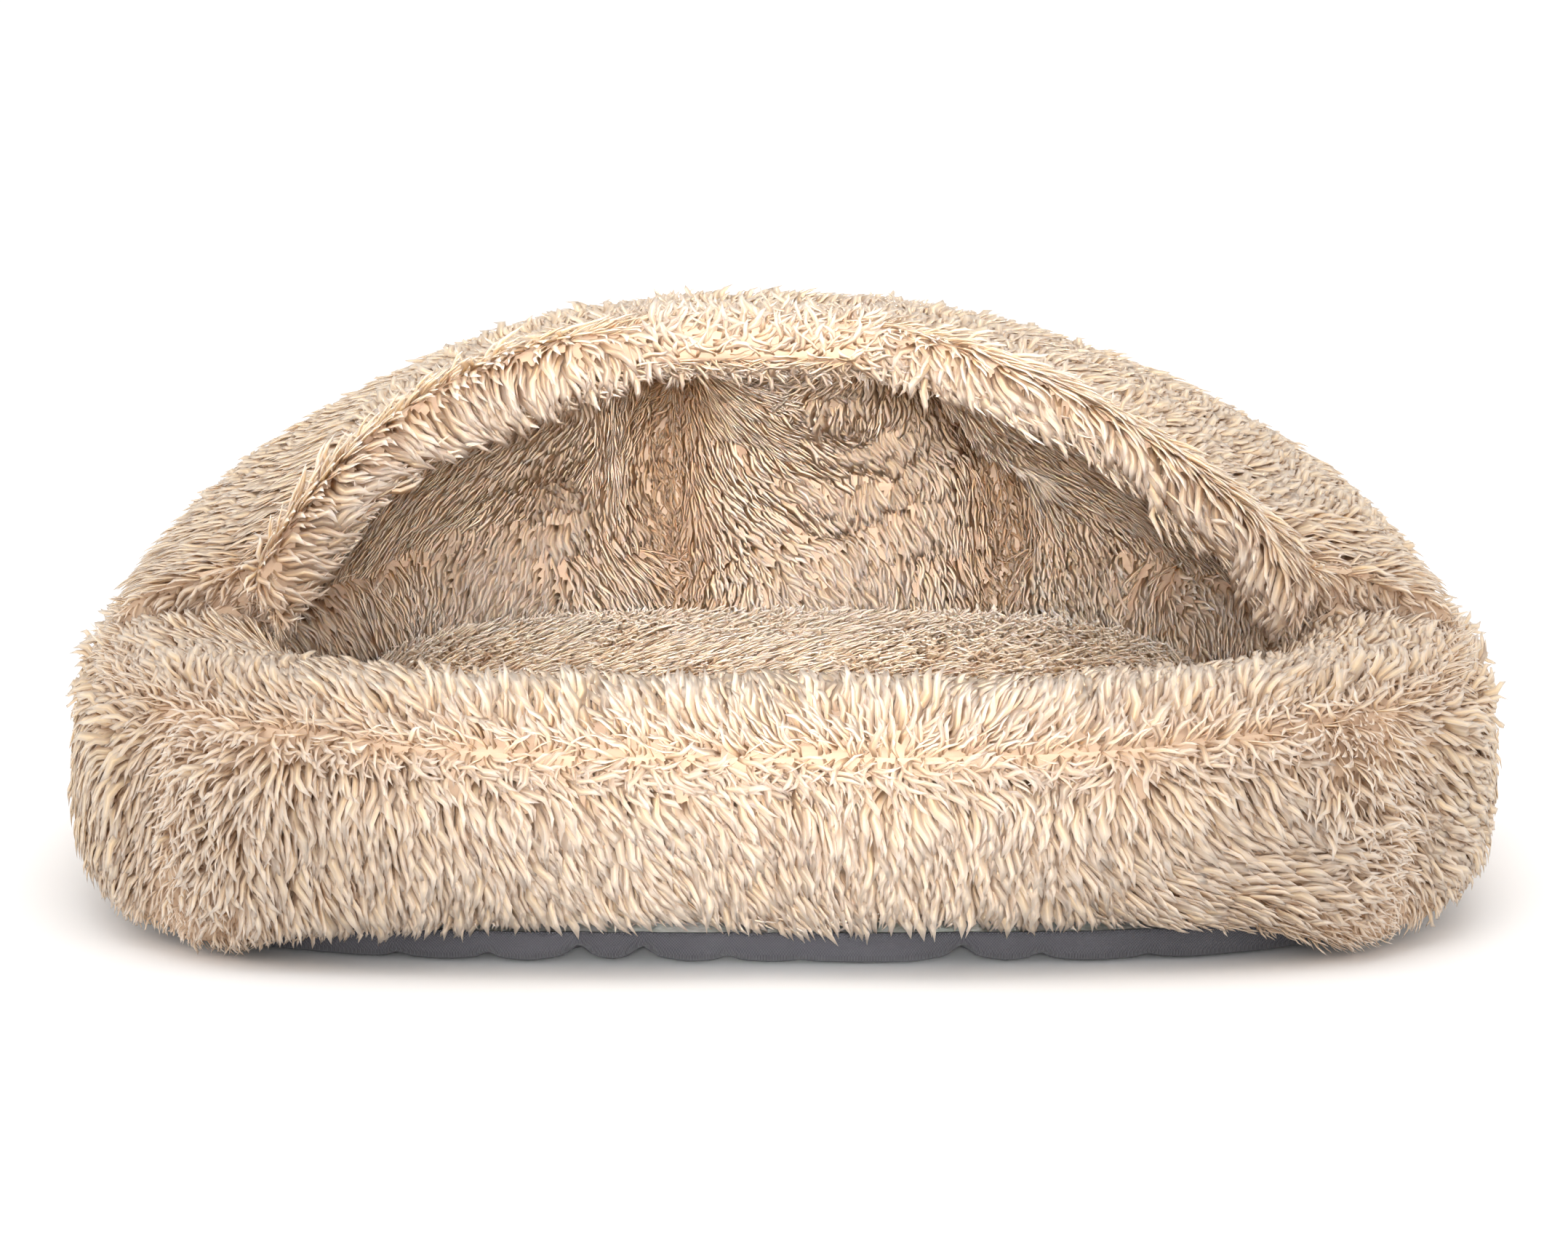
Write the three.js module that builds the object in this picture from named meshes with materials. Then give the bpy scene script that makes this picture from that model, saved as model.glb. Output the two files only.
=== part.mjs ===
// A hooded pet bed, in millimetres: +Z up, the open front faces -Y, and the origin is on the floor
// under the middle of the bed. A stuffed bolster runs round a rounded-square plan. A padded hood
// stands on its sides and back, lined with the same long-pile fur, and a loose cushion lies inside.
// Every sewn panel, filling and sheet is a separate closed solid, named as a maker would name it.
import * as THREE from "three";
import { mergeVertices } from "three/addons/utils/BufferGeometryUtils.js";

const { lerp, degToRad, smoothstep } = THREE.MathUtils;

// ---- driving dimensions ----
const BED_WIDTH = 588;
const BED_DEPTH = 452;
const PLAN_SQUARENESS = 3.6; // exponent of the plan's superellipse: 2 is an ellipse
const BOLSTER_WIDTH = 92;
const BOLSTER_SQUARENESS = 3.1;
const BOLSTER_BOTTOM = 17;
const BOLSTER_DROOP = 11; // how much lower the outer side hangs, except across the front
const CORNER_DROOP = 4; // added at the two front corners
const CORNER_SQUARENESS = 6; // of the section's underside at the two front corners
const BOLSTER_MIDDLE = 62;
const RIDGE_FRONT = 106; // the bolster's top in the middle of the front, lower for stepping in
const RIDGE_REAR = 112;
const FILLING_SHARE = 0.8; // how far the filling reaches from the bolster's core to its surface
const FUR_SHARE = 0.83; // where a fur panel's backing lies between the same two
const RIM_DEPTH = 26;
const RIM_SQUARENESS = 2.8;
const GAP = 0.4; // between pieces that touch
const BASE_INSET = 27;
const BASE_HEIGHT = 15;
const BASE_CORNER = 16; // how far the base curves up and out from its flat sole
const FABRIC = 1.6;
const CUSHION_INSET = 98;
const CUSHION_BOTTOM = 16;
const CUSHION_TOP = 78;
const CUSHION_FUR = 7;

// ---- angles round the plan: 0 is the right side, 90 the back, 270 the front ----
const MOUTH_RIGHT = -11;
const MOUTH_LEFT = 191;
const CORNERS = { backRight: 38, backLeft: 142, frontLeft: 218, frontRight: 322 };
const HOOD_SEAMS = [MOUTH_RIGHT, 56, 108, MOUTH_LEFT];
const ARCH_SEAMS = [1, 0.16, -0.21, -1]; // where those seams end on the arch, from right to left

// ---- angles round the bolster's section: 0 is outermost, 90 the ridge, 180 innermost ----
const SEAM_LOW = -68; // base seam
const SEAM_LOW_CORNER = -80; // base seam at the two front corners
const SEAM_FRONT = 27; // top seam on the front, below the ridge
const SEAM_REAR = 60; // seam between the walls and the hood
const LINING_FOOT = 240;
const LINING_TURN = 115; // where the lining leaves the bolster and climbs into the hood

// The hood's two faces. Each starts at a turn of the bolster and ends on an arch over the mouth,
// which is squarer on the left, because the hood leans that way.
const OUTER_FACE = { turn: SEAM_REAR, half: 221, foot: 134, top: 238, left: 2.9, right: 1.95 };
const INNER_FACE = { turn: LINING_TURN, half: 207, foot: 106, top: 212, left: 3.4, right: 2.5 };

const FUR = { color: 0xe6c9a4, roughness: 0.95, metalness: 0 };
const FILLING = { color: 0xf4f2ec, roughness: 1, metalness: 0 };
const BASE_CLOTH = { color: 0x4d4b50, roughness: 0.85, metalness: 0 };
const FLOOR_CLOTH = { color: 0xcbb79b, roughness: 0.9, metalness: 0 };

const bed = new THREE.Group();

// ---- geometry helpers ----

// Signed power, for superellipses.
const power = (value, exponent) => Math.sign(value) * Math.abs(value) ** exponent;

// A point of the plan's outline, moved inwards by inset.
function plan(angle, inset, z) {
  const a = BED_WIDTH / 2 - inset;
  const b = BED_DEPTH / 2 - inset;
  const c = Math.cos(degToRad(angle));
  const s = Math.sin(degToRad(angle));
  const n = PLAN_SQUARENESS;
  const r = (Math.abs(c / a) ** n + Math.abs(s / b) ** n) ** (-1 / n);
  return new THREE.Vector3(r * c, r * s, z);
}

// Evenly spaced values, both ends included.
const even = (from, to, count) => Array.from({ length: count + 1 }, (_, i) => lerp(from, to, i / count));

// A closed solid that fills a box of three parameters: at(u, v, w) gives the place of each corner.
// u and v list the values to step through, and w has two. A list that comes back to its start is a
// loop, which has no end walls.
function solid(at, u, v, w, loop = {}) {
  const corners = [];
  const quad = (a, b, c, d, flip) => {
    if (flip) corners.push(a, c, b, a, d, c);
    else corners.push(a, b, c, a, c, d);
  };
  const steps = (list) => list.slice(1).map((value, i) => [list[i], value]);
  for (const [u0, u1] of steps(u))
    for (const [v0, v1] of steps(v))
      for (const k of w) quad(at(u0, v0, k), at(u1, v0, k), at(u1, v1, k), at(u0, v1, k), k === w[0]);
  if (!loop.u)
    for (const [v0, v1] of steps(v))
      for (const end of [u[0], u.at(-1)])
        quad(at(end, v0, w[0]), at(end, v1, w[0]), at(end, v1, w[1]), at(end, v0, w[1]), end === u[0]);
  if (!loop.v)
    for (const [u0, u1] of steps(u))
      for (const end of [v[0], v.at(-1)])
        quad(at(u0, end, w[0]), at(u1, end, w[0]), at(u1, end, w[1]), at(u0, end, w[1]), end !== v[0]);
  return facingOut(mergeVertices(new THREE.BufferGeometry().setFromPoints(corners), 1e-3));
}

// Drops triangles that collapsed onto a point or a line, and turns the faces outwards.
function facingOut(geometry) {
  const place = geometry.getAttribute("position");
  const found = geometry.index.array;
  const [a, b, c] = [new THREE.Vector3(), new THREE.Vector3(), new THREE.Vector3()];
  const kept = [];
  let volume = 0;
  for (let i = 0; i < found.length; i += 3) {
    const [p, q, r] = [found[i], found[i + 1], found[i + 2]];
    if (p === q || q === r || r === p) continue;
    kept.push(p, q, r);
    a.fromBufferAttribute(place, p);
    b.fromBufferAttribute(place, q);
    c.fromBufferAttribute(place, r);
    volume += a.dot(b.cross(c));
  }
  geometry.setIndex(volume > 0 ? kept : kept.reverse());
  geometry.computeVertexNormals();
  return geometry;
}

function add(name, geometry, finish) {
  const mesh = new THREE.Mesh(geometry, new THREE.MeshStandardMaterial(finish));
  mesh.name = name;
  bed.add(mesh);
}

// ---- the bolster's section ----

// 0 in the middle of the front, 1 from the mouth's corners back.
const fromFront = (angle) => Math.abs(((angle + 270) % 360) - 180);
const towardsRear = (angle) => smoothstep(fromFront(angle), 20, 80);
const ridge = (angle) => lerp(RIDGE_FRONT, RIDGE_REAR, towardsRear(angle));

// 1 at the two front corners, fading to 0 on both sides.
const atCorner = (angle) => 1 - smoothstep(Math.abs(fromFront(angle) - 52), 4, 24);

// The section's underside: level inside, and drooping outside except across the front.
function underside(angle, outwards) {
  const droop = BOLSTER_DROOP * smoothstep(fromFront(angle), 36, 52);
  return BOLSTER_BOTTOM - (droop + CORNER_DROOP * atCorner(angle)) * smoothstep(outwards, 0, 0.6);
}

// A point of the bolster: turn goes round its section, and share from its core, 0, to its surface, 1.
function bolster(angle, turn, share) {
  const half = BOLSTER_WIDTH / 2;
  const below = Math.sin(degToRad(turn)) < 0;
  const square = below ? lerp(BOLSTER_SQUARENESS, CORNER_SQUARENESS, atCorner(angle)) : BOLSTER_SQUARENESS;
  const c = power(Math.cos(degToRad(turn)), 2 / square);
  const s = power(Math.sin(degToRad(turn)), 2 / square);
  const reach = s > 0 ? ridge(angle) - BOLSTER_MIDDLE : BOLSTER_MIDDLE - underside(angle, c);
  return plan(angle, half - half * share * c, BOLSTER_MIDDLE + reach * share * s);
}

// The wall panels' two long seams: the top one climbs from the front to the hood.
const topSeam = (angle) => lerp(SEAM_FRONT, SEAM_REAR, towardsRear(angle));
const lowSeam = (angle) => lerp(SEAM_LOW, SEAM_LOW_CORNER, atCorner(angle));

// ---- the hood's two faces ----

// How far across the arch a column of the hood ends: 1 at the right end of the mouth, -1 at the left.
function acrossArch(angle) {
  const i = angle < HOOD_SEAMS[1] ? 0 : angle < HOOD_SEAMS[2] ? 1 : 2;
  const part = (angle - HOOD_SEAMS[i]) / (HOOD_SEAMS[i + 1] - HOOD_SEAMS[i]);
  return Math.cos(lerp(Math.acos(ARCH_SEAMS[i]), Math.acos(ARCH_SEAMS[i + 1]), part));
}

// Where a column of one face ends, on the arch over the mouth.
function archPoint(angle, face) {
  const across = acrossArch(angle);
  const squareness = across > 0 ? face.right : face.left;
  const height = lerp(face.top, face.foot, Math.abs(across) ** squareness);
  return new THREE.Vector3(face.half * across, bolster(MOUTH_RIGHT, 180, 1).y, height);
}

// A column of one face: it climbs from the bolster and bends forward to the arch.
function hoodFace(angle, climb, face) {
  const start = bolster(angle, face.turn, 1);
  const end = archPoint(angle, face);
  const up = start.clone().setZ(lerp(start.z, end.z, 0.88));
  const back = end.clone().setY(lerp(end.y, start.y, 0.55));
  return new THREE.CubicBezierCurve3(start, up, back, end).getPoint(climb);
}

// A point in the hood's thickness: depth 0 is its outer face and 1 its inner face.
function hood(angle, climb, depth) {
  return hoodFace(angle, climb, OUTER_FACE).lerp(hoodFace(angle, climb, INNER_FACE), depth);
}

// ---- base: sole cloth, wadding and the cloth floor under the cushion ----

// The base's outline at a height: it curves out from a flat sole, as a stuffed base does.
function baseEdge(angle, height, share) {
  const open = 1 - height / BASE_HEIGHT;
  const inset = BASE_INSET + BASE_CORNER * (1 - Math.sqrt(1 - open * open));
  const edge = plan(angle, inset, height);
  return edge.multiply(new THREE.Vector3(share, share, 1));
}

// The sole is a shallow pan: its path runs from the middle of the floor out, and up the rim.
function pan(angle, along, layer) {
  const floor = 0.5;
  const out = Math.min(along / floor, 1);
  const up = Math.max((along - floor) / (1 - floor), 0);
  const outer = baseEdge(angle, BASE_HEIGHT * up * up, out);
  const inwards = plan(angle, BASE_INSET + BASE_CORNER, 0).normalize().multiplyScalar(-FABRIC);
  const lift = new THREE.Vector3(0, 0, up > 0.5 ? 0 : FABRIC);
  return outer.add(inwards.multiplyScalar(out).add(lift).multiplyScalar(layer));
}

const ROUND = even(0, 360, 36);
const loop = { u: true };
add("sole_cloth", solid(pan, ROUND, even(0, 1, 8), [0, 1], loop), BASE_CLOTH);

const insidePan = (angle, share, height) =>
  plan(angle, BASE_INSET + BASE_CORNER + FABRIC, height).multiply(new THREE.Vector3(share, share, 1));
const paddingTop = BASE_HEIGHT - 2 * GAP - FABRIC;
add(
  "base_wadding",
  solid(insidePan, ROUND, [0, 1], [FABRIC + GAP, paddingTop], loop),
  FILLING,
);
add(
  "floor_cloth",
  solid(insidePan, ROUND, [0, 1], [paddingTop + GAP, BASE_HEIGHT - GAP], loop),
  FLOOR_CLOTH,
);

// ---- bolster: four fur walls, the front's top panel, and four chambers of filling ----

const SIDES = {
  right: [CORNERS.frontRight - 360, CORNERS.backRight],
  back: [CORNERS.backRight, CORNERS.backLeft],
  left: [CORNERS.backLeft, CORNERS.frontLeft],
  front: [CORNERS.frontLeft, CORNERS.frontRight],
};
const SEAM_ANGLE = 0.1; // half the gap between two pieces that meet at an upright seam

// The angles of one quarter of the plan, closer together round its corner.
const QUARTER = [0, 12, 21, 28, 33, 38, 43, 50, 60, 74];

// Every piece steps round the plan by the same angles, so neighbours follow each other closely.
function stations(from, to) {
  const mirrored = [...QUARTER, ...QUARTER.slice(1).map((angle) => 180 - angle), 90];
  const seams = [MOUTH_RIGHT, MOUTH_RIGHT + 360, MOUTH_LEFT];
  const all = [-180, 0, 180, 360].flatMap((turn) => mirrored.map((angle) => angle + turn));
  const between = [...all, ...seams].filter((angle) => angle > from + 1 && angle < to - 1);
  return [from + SEAM_ANGLE, ...between.sort((a, b) => a - b), to - SEAM_ANGLE];
}

for (const [side, [from, to]] of Object.entries(SIDES)) {
  const span = stations(from, to);
  const wall = (angle, rise, share) =>
    bolster(angle, lerp(lowSeam(angle), topSeam(angle), rise), share);
  add(`${side}_wall_fur`, solid(wall, span, even(0, 1, 6), [FUR_SHARE, 1]), FUR);
  add(
    `${side}_bolster_filling`,
    solid(bolster, span, even(0, 360, 10), [0, FILLING_SHARE], { v: true }),
    FILLING,
  );
}

const seamGap = 1; // degrees of the section between two panels that meet at a long seam
const topPanel = (angle, turn, share) =>
  bolster(angle, lerp(topSeam(angle) + seamGap, LINING_FOOT, turn), share);
const front = stations(MOUTH_LEFT, MOUTH_RIGHT + 360);
add("front_top_fur", solid(topPanel, front, even(0, 1, 10), [FUR_SHARE, 1]), FUR);

// ---- hood: three panels of outer fur, padding and lining, and the fur rim on its front edge ----

// The lining runs up the bolster's inner side, then up the inside of the hood.
const LINING_ON_BOLSTER = 4 / 11;
const LINING_DEPTH = 0.66;
function lining(angle, along, layer) {
  if (along <= LINING_ON_BOLSTER)
    return bolster(
      angle,
      lerp(LINING_FOOT, LINING_TURN, along / LINING_ON_BOLSTER),
      lerp(FUR_SHARE, 1, layer),
    );
  const climb = (along - LINING_ON_BOLSTER) / (1 - LINING_ON_BOLSTER);
  return hood(angle, climb, lerp(LINING_DEPTH, 1, layer));
}

const PANELS = ["right", "middle", "left"];
const FOOT_GAP = 0.01; // share of the climb left free at the hood's foot

// The outer fur is turned in at both ends of the mouth, where it covers the end of the padding.
const TURNED_IN = 1.6; // degrees of the plan
const PADDING_START = 3.4;
const FUR_DEPTH = 0.33;
const PADDING_DEPTH = [0.37, 0.6];
const END_DEPTH = 0.62;
const TURN_STEPS = [MOUTH_RIGHT + TURNED_IN, MOUTH_LEFT - TURNED_IN].flatMap((a) => [a - 0.1, a + 0.1]);
function hoodFur(angle, climb, layer) {
  const end = angle < MOUTH_RIGHT + TURNED_IN || angle > MOUTH_LEFT - TURNED_IN;
  return hood(angle, climb, layer * (end ? END_DEPTH : FUR_DEPTH));
}

PANELS.forEach((panel, i) => {
  const [from, to] = [HOOD_SEAMS[i], HOOD_SEAMS[i + 1]];
  const span = stations(from, to);
  const turned = TURN_STEPS.filter((angle) => angle > from && angle < to);
  const furSpan = [...span, ...turned].sort((a, b) => a - b);
  const first = from === MOUTH_RIGHT ? from + PADDING_START : from;
  const last = to === MOUTH_LEFT ? to - PADDING_START : to;
  const climbs = [FOOT_GAP, ...even(0, 1, 7).slice(1)];
  add(`hood_${panel}_fur`, solid(hoodFur, furSpan, climbs, [0, 1]), FUR);
  add(`hood_${panel}_padding`, solid(hood, stations(first, last), climbs, PADDING_DEPTH), FILLING);
  add(`lining_${panel}_fur`, solid(lining, furSpan, even(0, 1, 11), [0, 1]), FUR);
});

// The rim is a soft roll along the hood's front edge, a fur tube round a core of filling.
function rim(angle, turn, share) {
  const outer = hood(angle, 1, 0);
  const inner = hood(angle, 1, 1);
  const c = power(Math.cos(degToRad(turn)), 2 / RIM_SQUARENESS);
  const s = power(Math.sin(degToRad(turn)), 2 / RIM_SQUARENESS);
  const place = inner.lerp(outer, 0.5 + 0.5 * share * c);
  return place.add(new THREE.Vector3(0, -GAP - (RIM_DEPTH / 2) * (1 - share * s), 0));
}
const RIM_FUR_SHARE = 0.45;
const RIM_CORE_SHARE = 0.41;
const arch = stations(MOUTH_RIGHT, MOUTH_LEFT);
const tube = { v: true };
add("hood_rim_core", solid(rim, arch, even(0, 360, 8), [0, RIM_CORE_SHARE], tube), FILLING);
add("hood_rim_fur", solid(rim, arch, even(0, 360, 10), [RIM_FUR_SHARE, 1], tube), FUR);

// ---- loose cushion: fur top, cloth underside and filling ----

// Half of a pillow's outline, as height over its seam: flat in the middle and round at the edge.
const pillow = (share) => (1 - share ** 4) ** 0.5;
const cushionPoint = (angle, share, height) =>
  plan(angle, CUSHION_INSET, height).multiply(new THREE.Vector3(share, share, 1));
const seamHeight = lerp(CUSHION_BOTTOM, CUSHION_TOP, 0.4);
const above = (share, thick) => (CUSHION_TOP - seamHeight - thick) * pillow(share);
const below = (share, thick) => (seamHeight - CUSHION_BOTTOM - thick) * pillow(share);
const RADIAL = even(0, 1, 7);

const top = (angle, share, layer) =>
  cushionPoint(angle, share, seamHeight + GAP + above(share, CUSHION_FUR * (1 - layer)) + layer);
add("cushion_fur", solid(top, ROUND, RADIAL, [0, 1], loop), FUR);

const bottom = (angle, share, layer) =>
  cushionPoint(angle, share, seamHeight - GAP - below(share, FABRIC * (1 - layer)) - layer);
add("cushion_underside", solid(bottom, ROUND, RADIAL, [0, 1], loop), FLOOR_CLOTH);

const CUSHION_CORE = 0.97;
const core = (angle, share, half) => {
  const upper = above(share, CUSHION_FUR + 2 * GAP);
  const lower = -below(share, FABRIC + 2 * GAP);
  return cushionPoint(angle, share * CUSHION_CORE, seamHeight + lerp(lower, upper, half));
};
add("cushion_filling", solid(core, ROUND, RADIAL, [0, 1], loop), FILLING);

export default bed;
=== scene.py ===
"""A hooded pet bed of long-pile fur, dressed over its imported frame."""

import math
import random

import bmesh
import bpy
import numpy as np
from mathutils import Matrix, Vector, noise
from mathutils.bvhtree import BVHTree
from mathutils.kdtree import KDTree


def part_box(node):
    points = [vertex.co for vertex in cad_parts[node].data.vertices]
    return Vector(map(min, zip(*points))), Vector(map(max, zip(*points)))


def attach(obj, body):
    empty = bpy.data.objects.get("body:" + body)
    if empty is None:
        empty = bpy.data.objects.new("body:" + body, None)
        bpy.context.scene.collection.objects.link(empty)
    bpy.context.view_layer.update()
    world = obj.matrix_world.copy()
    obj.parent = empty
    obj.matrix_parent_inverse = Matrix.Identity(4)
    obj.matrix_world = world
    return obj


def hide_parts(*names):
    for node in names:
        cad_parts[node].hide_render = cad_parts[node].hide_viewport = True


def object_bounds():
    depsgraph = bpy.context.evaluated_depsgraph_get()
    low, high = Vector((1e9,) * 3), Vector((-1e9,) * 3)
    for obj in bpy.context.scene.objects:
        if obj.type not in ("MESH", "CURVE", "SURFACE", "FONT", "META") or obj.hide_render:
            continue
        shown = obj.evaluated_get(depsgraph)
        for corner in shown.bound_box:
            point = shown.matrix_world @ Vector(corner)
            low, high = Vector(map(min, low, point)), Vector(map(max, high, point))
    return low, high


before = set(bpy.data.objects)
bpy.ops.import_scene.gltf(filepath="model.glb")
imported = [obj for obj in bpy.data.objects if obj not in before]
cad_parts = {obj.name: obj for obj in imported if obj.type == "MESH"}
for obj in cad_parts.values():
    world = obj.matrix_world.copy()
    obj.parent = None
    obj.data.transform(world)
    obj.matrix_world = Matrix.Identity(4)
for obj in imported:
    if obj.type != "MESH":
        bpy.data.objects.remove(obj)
frame_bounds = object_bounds()
low, high = (Vector(corner) for corner in frame_bounds)
width = high.x - low.x


# ---- camera, floor and light ----
# The bed stands on a plain pale studio floor, seen from the front and slightly above, in broad soft
# light from the front and above that reaches into the cave.
VIEW_ELEVATION = math.radians(10)
VIEW_DISTANCE = 2.0
AIM_HEIGHT = 0.099
SENSOR = 36.0
BED_SHARE_OF_FRAME = 0.902
FUR_BEYOND_FRAME = 0.006

camera_data = bpy.data.cameras.new("studio_camera")
camera_data.sensor_width = SENSOR
frame_width = (width + 2 * FUR_BEYOND_FRAME) / BED_SHARE_OF_FRAME
camera_data.lens = SENSOR * VIEW_DISTANCE / frame_width
camera_data.clip_end = 60
camera = bpy.data.objects.new("studio_camera", camera_data)
bpy.context.scene.collection.objects.link(camera)
camera.location = (
    0,
    -VIEW_DISTANCE * math.cos(VIEW_ELEVATION),
    AIM_HEIGHT + VIEW_DISTANCE * math.sin(VIEW_ELEVATION),
)
camera.rotation_euler = (math.pi / 2 - VIEW_ELEVATION, 0, 0)
bpy.context.scene.camera = camera


def area_light(name, place, size, power, aim=(0, 0, 0.1)):
    """A round soft light that faces the bed and isn't seen itself."""
    data = bpy.data.lights.new(name, "AREA")
    data.shape = "DISK"
    data.size = size
    data.energy = power
    lamp = bpy.data.objects.new(name, data)
    bpy.context.scene.collection.objects.link(lamp)
    lamp.location = place
    lamp.visible_camera = False
    lamp.rotation_euler = (Vector(aim) - Vector(place)).to_track_quat("-Z", "Y").to_euler()
    return data


area_light("key_light", place=(-1.0, -1.9, 1.3), size=1.3, power=4.2)
area_light("left_light", place=(-2.0, -0.7, 0.8), size=1.2, power=7)
area_light("right_light", place=(2.0, -0.7, 0.8), size=1.2, power=6)
area_light("rear_light", place=(0.5, 2.3, 1.3), size=1.5, power=8)
area_light("cave_light", place=(0.3, -2.7, 0.55), size=1.6, power=5.5)
area_light("top_light", place=(0.1, -0.8, 2.2), size=1.6, power=8)
mouth_light = area_light("mouth_light", place=(0.0, -1.25, 0.39), size=0.3, power=0.5, aim=(0, 0.12, 0.13))
mouth_light.spread = math.radians(17)

world = bpy.data.worlds.new("studio_air")
bpy.context.scene.world = world
world.use_nodes = True
studio_air = world.node_tree.nodes["Background"]
studio_air.inputs["Color"].default_value = (1, 1, 1, 1)
studio_air.inputs["Strength"].default_value = 1.1
bpy.context.scene.view_settings.view_transform = "Standard"


class Value:
    """A number's socket in a material, so that shader maths reads as Python."""

    def __init__(self, finish, socket):
        self.finish = finish
        self.socket = socket

    def _maths(self, operation, a, b=0.0):
        return self.finish.node("ShaderNodeMath", {"operation": operation}, {0: a, 1: b})

    def __add__(self, other):
        return self._maths("ADD", self, other)

    __radd__ = __add__

    def __rsub__(self, other):
        return self._maths("SUBTRACT", other, self)

    def __mul__(self, other):
        return self._maths("MULTIPLY", self, other)

    __rmul__ = __mul__

    def sine(self):
        return self._maths("SINE", self)


class Finish:
    """A material under construction: one shader, and one way to add any other node."""

    def __init__(self, name, **constants):
        self.material = bpy.data.materials.new(name)
        self.material.use_nodes = True
        self.nodes = self.material.node_tree.nodes
        self.shader = self.nodes["Principled BSDF"]
        for socket, constant in constants.items():
            self.shader.inputs[socket.replace("_", " ")].default_value = constant

    def link(self, value, socket):
        if isinstance(value, Value):
            self.material.node_tree.links.new(value.socket, socket)
        elif isinstance(value, (tuple, list)) and len(value) == 3 and socket.type == "RGBA":
            socket.default_value = (*value, 1)
        else:
            socket.default_value = value

    def node(self, kind, settings=None, inputs=None, output=0):
        made = self.nodes.new(kind)
        for key, setting in (settings or {}).items():
            setattr(made, key, setting)
        for key, value in (inputs or {}).items():
            self.link(value, made.inputs[key])
        return Value(self, made.outputs[output])

    def attribute(self, name):
        return self.node("ShaderNodeAttribute", {"attribute_name": name}, output="Fac")

    def place(self):
        return self.node("ShaderNodeTexCoord", output="Object")

    def parts(self, vector):
        split = self.nodes.new("ShaderNodeSeparateXYZ")
        self.link(vector, split.inputs[0])
        return [Value(self, split.outputs[i]) for i in range(3)]

    def noise(self, vector, scale, detail=2):
        inputs = {"Vector": vector, "Scale": scale, "Detail": detail}
        return self.node("ShaderNodeTexNoise", None, inputs, "Fac")

    def between(self, value, start, end):
        inputs = {"Value": value, "From Min": start, "From Max": end}
        return self.node("ShaderNodeMapRange", {"interpolation_type": "SMOOTHSTEP"}, inputs)

    def mix(self, factor, a, b, blend="MIX"):
        made = self.nodes.new("ShaderNodeMix")
        made.data_type = "RGBA"
        made.blend_type = blend
        for key, value in ((0, factor), (6, a), (7, b)):
            self.link(value, made.inputs[key])
        return Value(self, made.outputs[2])

    def colour(self, value):
        self.link(value, self.shader.inputs["Base Color"])

    def relief(self, height, distance, strength=1.0):
        inputs = {"Height": height, "Distance": distance, "Strength": strength}
        self.link(self.node("ShaderNodeBump", None, inputs), self.shader.inputs["Normal"])


def linear(red, green, blue):
    """A colour given as it looks on a screen, 0 to 255, as the shader wants it."""
    return tuple(((c / 255 + 0.055) / 1.055) ** 2.4 for c in (red, green, blue))


def show(mesh, name, finish):
    """Puts a mesh into the scene in one material."""
    made = bpy.data.objects.new(name, mesh)
    bpy.context.scene.collection.objects.link(made)
    mesh.materials.clear()
    mesh.materials.append(finish.material)
    return made


FLOOR_REACH = 15
floor_mesh = bpy.data.meshes.new("studio_floor")
floor_mesh.from_pydata(
    [(x * FLOOR_REACH, y * FLOOR_REACH, 0) for x, y in ((-1, -1), (1, -1), (1, 1), (-1, 1))],
    [], [(0, 1, 2, 3)],
)
paper = Finish("pale_paper", Roughness=0.9)
paper.colour((0.97, 0.97, 0.967))
show(floor_mesh, "studio_floor", paper)


# ---- sole ----
# The underside is a shallow pan of woven grey canvas, stuffed flat. It is gathered by tacks along its
# edge where it is sewn to the fur, so that the edge stands in soft lobes with tucks between them.
SOLE_STATIONS = 560
SOLE_CLOTH = 0.0016
SOLE_PUFF = 0.0035
TUCK_LIFT = 0.0068
TUCK_PULL = 0.004
FRONT_TUCKS = ((-0.152, 0.3), (-0.116, 0.45), (-0.080, 1.0), (-0.055, 0.9), (-0.022, 0.35),
               (0.006, 0.15), (0.069, 1.0), (0.100, 0.45), (0.143, 0.25))
TUCK_POINT_WIDTH = 0.0035
TUCK_FOOT_WIDTH = 0.013
FRONT_HALF_LENGTH = 0.215
EDGE_ROUNDING = 0.016
OFF_THE_FLOOR = 0.0001
SOLE_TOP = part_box("sole_cloth")[1].z
SOLE_EDGE_TOP = SOLE_TOP - 0.0008

WEAVE_PITCH = 0.0011


def woven(name, thread, gap, **constants):
    """A plain weave on the piece's own coordinates: raised threads over a darker ground."""
    cloth = Finish(name, **constants)
    place = cloth.place()
    x, y, z = cloth.parts(place)
    turns = 2 * math.pi / WEAVE_PITCH
    weave = (x * turns).sine() * ((y + z) * turns).sine()
    threads = cloth.mix(cloth.between(weave, -0.6, 0.8), gap, thread)
    worn = cloth.between(cloth.noise(place, 22, 4), 0.35, 0.75) * 0.35
    cloth.colour(cloth.mix(worn, threads, tuple(min(1.0, 1.25 * c) for c in thread)))
    cloth.relief(weave + cloth.noise(place, 60, 3) * 2.0, 0.0003, 0.6)
    return cloth


canvas = woven("grey_canvas", linear(92, 91, 97), linear(64, 63, 68), Roughness=0.78, Sheen_Weight=0.15)


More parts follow.
